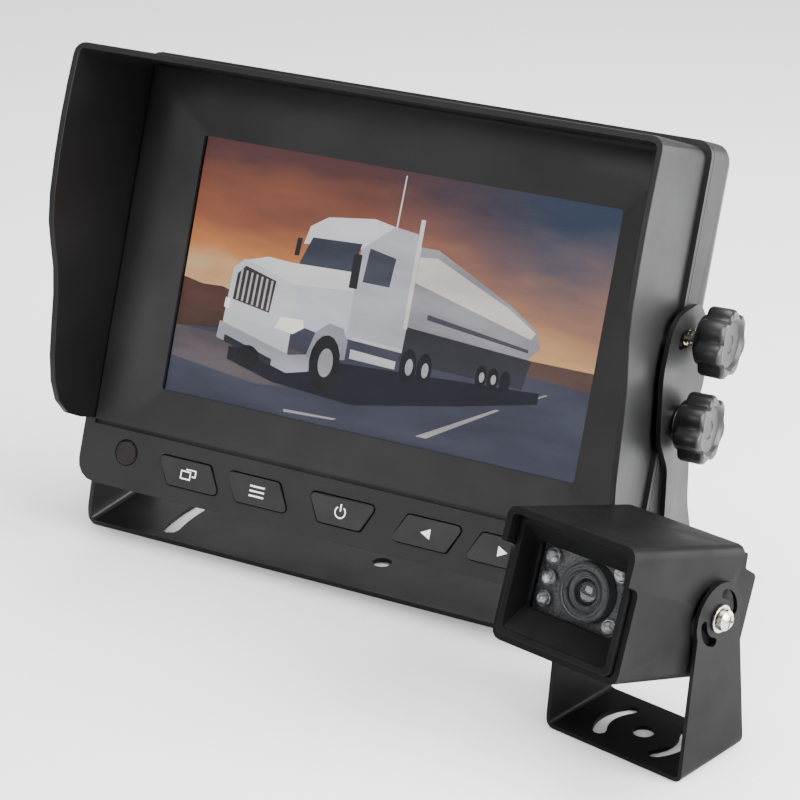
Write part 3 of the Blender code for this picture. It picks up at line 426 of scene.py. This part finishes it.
PICTURE = (  # name, colour, strength, drift, outlines in picture widths and heights (0 to 1)
    ("far_field", (0.13, 0.075, 0.065), 0.8, 0.5, [[(0, .30), (1, .30), (1, .40), (.62, .40),
        (.34, .40), (0, .37)]]),
    ("ridge", (0.10, 0.045, 0.038), 0.8, 0.5, [[(0, .34), (.17, .35), (.19, .40), (.10, .44),
        (.05, .435), (0, .45)]]),
    ("road", (0.060, 0.064, 0.095), 0.9, 0.5, [[(0, 0), (1, 0), (1, .33), (.60, .36), (.30, .345),
        (0, .30)]]),
    ("road_warm", (0.115, 0.095, 0.105), 0.9, 0.6, [[(0, .14), (.22, .10), (.52, .16), (.30, .26),
        (0, .26)]]),
    ("verge", (0.085, 0.045, 0.035), 0.8, 0.6, [[(0, .26), (.20, .30), (.20, .35), (0, .34)]]),
    ("lane_marks", (0.46, 0.43, 0.42), 0.9, 0.3,
     [[(.62, .04), (.645, .04), (.80, .20), (.79, .20)], [(.83, .235), (.84, .235), (.90, .29), (.895, .29)],
      [(.30, .02), (.42, .03), (.43, .038), (.30, .03)]]),
    ("truck_shadow", (0.018, 0.018, 0.028), 1.0, 0.3,
     [[(.14, .17), (.26, .12), (.46, .10), (.70, .18), (.88, .25), (.88, .29), (.14, .22)]]),
    ("tanker", (0.30, 0.29, 0.32), 1.0, 0.6,
     [[(.55, .42), (.70, .41), (.84, .40), (.865, .45), (.85, .51), (.78, .585), (.60, .73), (.55, .73)]]),
    ("tanker_shine", (0.78, 0.70, 0.66), 1.0, 0.3, [[(.55, .60), (.84, .475), (.85, .50),
        (.78, .57), (.60, .70), (.55, .69)]]),
    ("tanker_band", (0.07, 0.07, 0.09), 1.0, 0.5, [[(.60, .47), (.84, .425), (.84, .437), (.60, .49)]]),
    ("tanker_base", (0.035, 0.034, 0.045), 1.0, 0.5, [[(.55, .30), (.84, .29), (.85, .40),
        (.55, .43)]]),
    ("cab_side", (0.50, 0.50, 0.56), 1.0, 0.35,
     [[(.42, .34), (.555, .33), (.56, .72), (.545, .775), (.49, .785), (.42, .74)]]),
    ("cab_roof", (0.80, 0.80, 0.84), 1.0, 0.2, [[(.28, .66), (.42, .68), (.49, .785), (.44, .80),
        (.33, .775), (.29, .73)]]),
    ("windscreen", (0.035, 0.042, 0.06), 1.0, 0.9, [[(.275, .575), (.405, .59), (.42, .70),
        (.30, .69)]]),
    ("cab_window", (0.05, 0.055, 0.075), 1.0, 0.8, [[(.435, .56), (.50, .56), (.505, .67),
        (.44, .69)]]),
    ("bonnet_top", (0.86, 0.86, 0.89), 1.0, 0.15, [[(.145, .555), (.27, .50), (.42, .52),
        (.41, .59), (.26, .58), (.20, .585)]]),
    ("bonnet_side", (0.62, 0.63, 0.69), 1.0, 0.3, [[(.27, .36), (.42, .32), (.42, .52), (.27, .50)]]),
    ("front", (0.72, 0.72, 0.77), 1.0, 0.2, [[(.115, .30), (.285, .235), (.285, .47), (.27, .505),
        (.145, .56), (.12, .52)]]),
    ("grille", (0.045, 0.042, 0.05), 1.0, 0.5, [[(.13, .40), (.225, .375), (.23, .50), (.15, .535),
        (.132, .50)]]),
    ("grille_bars", (0.55, 0.50, 0.47), 1.0, 0.4,
     [[(x, .405 - (x - .13) * .26), (x + .005, .404 - (x - .13) * .26), (x + .007, .523 - (x - .13) * .3),
       (x + .002, .524 - (x - .13) * .3)] for x in (.138, .151, .164, .177, .190, .203, .216)]),
    ("bumper", (0.40, 0.40, 0.45), 1.0, 0.5, [[(.105, .245), (.29, .165), (.345, .19),
        (.345, .255), (.29, .235), (.108, .31)]]),
    ("bumper_gap", (0.03, 0.03, 0.038), 1.0, 0.5, [[(.125, .235), (.25, .178), (.25, .205),
        (.125, .262)]]),
    ("lamps", (1.0, 0.93, 0.82), 1.3, 0.1,
     [[(.245, .325), (.29, .315), (.315, .345), (.31, .375), (.255, .372)], [(.112, .365),
         (.124, .36), (.126, .40), (.113, .402)]]),
    ("arch", (0.30, 0.30, 0.35), 1.0, 0.4, [[(.33, .24), (.345, .34), (.375, .385), (.41, .375),
        (.425, .33), (.425, .26)]]),
    ("tyres", (0.014, 0.014, 0.018), 1.0, 0.6,
     [wheel(.378, .235, .037, .105), wheel(.19, .195, .030, .045), wheel(.575, .285, .020, .068),
      wheel(.613, .285, .018, .064), wheel(.745, .305, .013, .045),
          wheel(.772, .305, .013, .043), wheel(.80, .305, .012, .042)]),
    ("hubs", (0.36, 0.35, 0.38), 1.0, 0.5,
     [wheel(.381, .235, .018, .055), wheel(.578, .285, .009, .031), wheel(.616, .285, .008, .028),
      wheel(.747, .305, .006, .019), wheel(.774, .305, .006, .018)]),
    ("steps", (0.66, 0.64, 0.66), 1.0, 0.4, [[(.435, .27), (.545, .265), (.545, .295), (.435, .305)],
                                          [(.435, .34), (.555, .335), (.555, .345), (.435, .352)]]),
    ("mirrors", (0.02, 0.02, 0.026), 1.0, 0.4, [[(.405, .53), (.425, .53), (.425, .66), (.405, .66)],
                                            [(.262, .61), (.274, .612), (.276, .68), (.264, .678)]]),
    ("stacks", (0.70, 0.66, 0.66), 1.0, 0.4, [[(.548, .42), (.558, .42), (.558, .83), (.548, .83)],
                                           [(.492, .78), (.496, .78), (.498, .98), (.495, .98)]]),
)


def picture():
    """The panel's picture: layers a few microns thick, one in front of another, on its face."""
    def spot(u, v):
        return ((u - 0.5) * 2 * SCREEN_HALF_W, (v - 0.5) * 2 * SCREEN_HALF_H)

    work = bmesh.new()
    layer = work.loops.layers.uv.new("picture")
    plate(work, [spot(u, v) for u, v in ((0, 0), (1, 0), (1, 1),
        (0, 1))], PANEL_Y, PANEL_Y + 0.00007, Matrix(), 0)
    materials = [sky_glow()]
    for number, (name, colour, strength, drift, outlines) in enumerate(PICTURE):
        materials.append(glow(f"picture_{name}", colour, strength, drift))
        front = PANEL_Y - LAYER_STEP * (number + 1)
        for outline in outlines:
            plate(work, [spot(u, v) for u, v in outline], front, front + LAYER_THICK, Matrix(), number + 1)
    for face in work.faces:
        for loop in face.loops:
            where = loop.vert.co
            loop[layer].uv = (where.x / (2 * SCREEN_HALF_W) + 0.5, where.z / (2 * SCREEN_HALF_H) + 0.5)
    bmesh.ops.transform(work, matrix=SCREEN, verts=work.verts)
    finish_piece(work, "screen_picture", materials, "head")


# ---------------------------------------------------------------- camera optics
# Turned profiles, as (radius, depth) pairs
OUTER_RING = ((0.0056, -0.0322), (0.0056, -0.0334), (0.0059, -0.0336), (0.0062, -0.0334),
              (0.0064, -0.0331), (0.0071, -0.0331), (0.0073, -0.0334), (0.0078, -0.0335),
              (0.0083, -0.0333), (0.0086, -0.0326), (0.0086, -0.0300), (0.0056, -0.0300),
              (0.0056, -0.0322))
INNER_RINGS = ((0.0040, -0.0318), (0.0040, -0.0322), (0.0043, -0.0325), (0.0046, -0.0322),
               (0.0049, -0.0325), (0.0052, -0.0322), (0.0055, -0.0325), (0.0055, -0.0318),
               (0.0040, -0.0318))
LED_RIM = ((0.0019, -0.0306), (0.0022, -0.0312), (0.0024, -0.0312), (0.0024, -0.0304),
           (0.0019, -0.0304), (0.0019, -0.0306))


def domed(radius, height, start, steps):
    """A rounded front end: a quarter of an ellipse from the axis out to the rim."""
    turns = [t * math.pi / 2 / steps for t in range(steps + 1)]
    return [(radius * math.sin(t), start - height * math.cos(t)) for t in turns]


def optics(made):
    """Everything behind the camera's window: rings around the lens, and eight lamps."""
    turned = CAMERA @ Matrix.Translation((0, 0, LENS_Z))
    work = bmesh.new()
    lathe(work, OUTER_RING, turned, 72, 0)
    lathe(work, INNER_RINGS, turned, 72, 1)
    finish_piece(work, "lens_rings", [made["barrel"], made["ring"]], "camera_head")
    work = bmesh.new()
    lathe(work, domed(0.0039, 0.0019, -0.0307, 10) + [(0.0039, -0.0303), (0.0, -0.0303)], turned, 48)
    finish_piece(work, "lens_front_element", [made["optic"]], "camera_head")
    cups, domes = bmesh.new(), bmesh.new()
    for x, z in LEDS:
        spot = CAMERA @ Matrix.Translation((x, 0, z))
        bulb = domed(0.00185, 0.0016, -0.0313, 8) + [(0.00185, -0.0306), (0.0, -0.0306)]
        lathe(domes, bulb, spot, 28)
        lathe(cups, LED_RIM, spot, 28)
    finish_piece(domes, "led_domes", [made["dome"]], "camera_head")
    finish_piece(cups, "led_reflector_rims", [made["cup"]], "camera_head")


# ---------------------------------------------------------------- the whole kit
def dress(made):
    plan = (
        ("monitor_bracket", "powder", "bracket", "bracket_powder_coat", 0.00035),
        ("camera_bracket", "stand", "camera_stand", "bracket_powder_coat", 0.0003),
        ("front_bezel", "case", "head", "case_plastic", 0.0003),
        ("rear_case", "case", "head", "case_plastic", 0.0004),
        ("sun_hood", "hood", "head", "hood_plastic", 0.0003),
        ("camera_shell", "enamel", "camera_head", "camera_enamel", 0.00035),
        ("front_frame", "enamel", "camera_head", "camera_enamel", 0.0003),
        ("rear_cover", "enamel", "camera_head", "camera_enamel", 0.0003),
        ("cable_gland", "rubber", "camera_head", "black_rubber", 0.0002),
        ("input_socket", "rubber", "head", "black_rubber", 0.0002),
        ("pivot_screw_left", "nickel", "camera_head", "nickel_plate", 0.00015),
        ("pivot_screw_right", "nickel", "camera_head", "nickel_plate", 0.00015),
        ("pivot_washer_left", "nickel", "camera_head", "nickel_plate", 0.0001),
        ("pivot_washer_right", "nickel", "camera_head", "nickel_plate", 0.0001),
    )
    for node, finish, body, slot, edge in plan:
        dressed(node, made[finish], body, edge)
    for name in KEY_X:
        dressed(name, made["key"], f"{name}_key", 0.00045, 3)
    for corner in CORNERS:
        dressed(f"washer_{corner}", made["nickel"], f"washer_of_{corner}", 0.0001)
        knob(corner, made)
        stud(corner, made)
    plain = {"lcd_panel": "optic", "backlight_tray": "tray", "main_board": "board", "key_board": "board",
             "speaker": "rubber", "receiver_window": "receiver", "window_glass": "pane",
             "window_seal": "rubber", "led_board": "board", "lens_barrel": "barrel", "lens_glass": "optic",
             "sensor_board": "board"}
    plain.update({f"insert_{corner}": "brass" for corner in CORNERS})
    plain.update({f"case_screw_{n}": "nickel" for n in range(1, 5)})
    plain.update({f"cover_screw_{n}": "nickel" for n in range(1, 5)})
    for node, finish in plain.items():
        repaint(node, made[finish])


def repaint(node, material):
    """Gives a CAD piece that stays as it is its finish."""
    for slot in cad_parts[node].material_slots:
        slot.link = "OBJECT"
        slot.material = material


def clear_glass():
    """The screen's cover glass: thin enough that it only adds a faint reflection."""
    finish = Finish("screen_cover_glass", (0.005, 0.005, 0.006), 0.10, 0.0, 0.08)
    finish.handled(14, 0.04).set("Alpha", 0.05)
    repaint("screen_glass", finish.made)


# ---------------------------------------------------------------- camera, lights, floor
def area(name, location, target, size, energy, colour=(1, 1, 1)):
    data = bpy.data.lights.new(name, "AREA")
    data.shape = "RECTANGLE"
    data.size, data.size_y = size
    data.energy = energy
    data.color = colour
    light = bpy.data.objects.new(name, data)
    light.location = location
    light.rotation_euler = (Vector(target) - Vector(location)).to_track_quat("-Z", "Y").to_euler()
    bpy.context.scene.collection.objects.link(light)
    return light


def studio():
    eye = bpy.data.cameras.new("studio_camera")
    eye.lens, eye.sensor_width = 122.85, 36.0
    seen = bpy.data.objects.new("studio_camera", eye)
    seen.location = (0.39004, -0.67681, 0.41128)
    seen.rotation_euler = (math.radians(66.781), 0.0, math.radians(29.4))
    bpy.context.scene.collection.objects.link(seen)
    bpy.context.scene.camera = seen

    world = bpy.data.worlds.new("studio_world")
    world.use_nodes = True
    world.node_tree.nodes["Background"].inputs["Color"].default_value = (1, 1, 1, 1)
    world.node_tree.nodes["Background"].inputs["Strength"].default_value = 0.85
    bpy.context.scene.world = world

    pale = Finish("studio_floor", (0.93, 0.93, 0.93), 0.85, 0.0, 0.1)
    pale.mottled(3, 0.01).handled(5, 0.04)
    bpy.ops.mesh.primitive_plane_add(size=6, location=(0, 0, -0.0002))
    floor = bpy.context.object
    floor.name = "studio_floor"
    floor.data.materials.append(pale.made)
    lights = [area("key_from_the_right", (0.75, -0.05, 0.35), (0, 0, 0.08), (0.5, 0.7), 22),
              area("soft_top", (0.0, 0.1, 0.9), (0, 0, 0.05), (0.8, 0.8), 16),
              area("glow_along_the_side", (0.85, 0.85, 0.10), (0.1, 0, 0.08), (0.9, 0.6), 17),
              area("front_fill", (-0.35, -0.9, 0.45), (0, 0, 0.08), (0.7, 0.5), 5)]


looks = finishes()
dress(looks)
clear_glass()
legends(looks)
picture()
optics(looks)
studio()
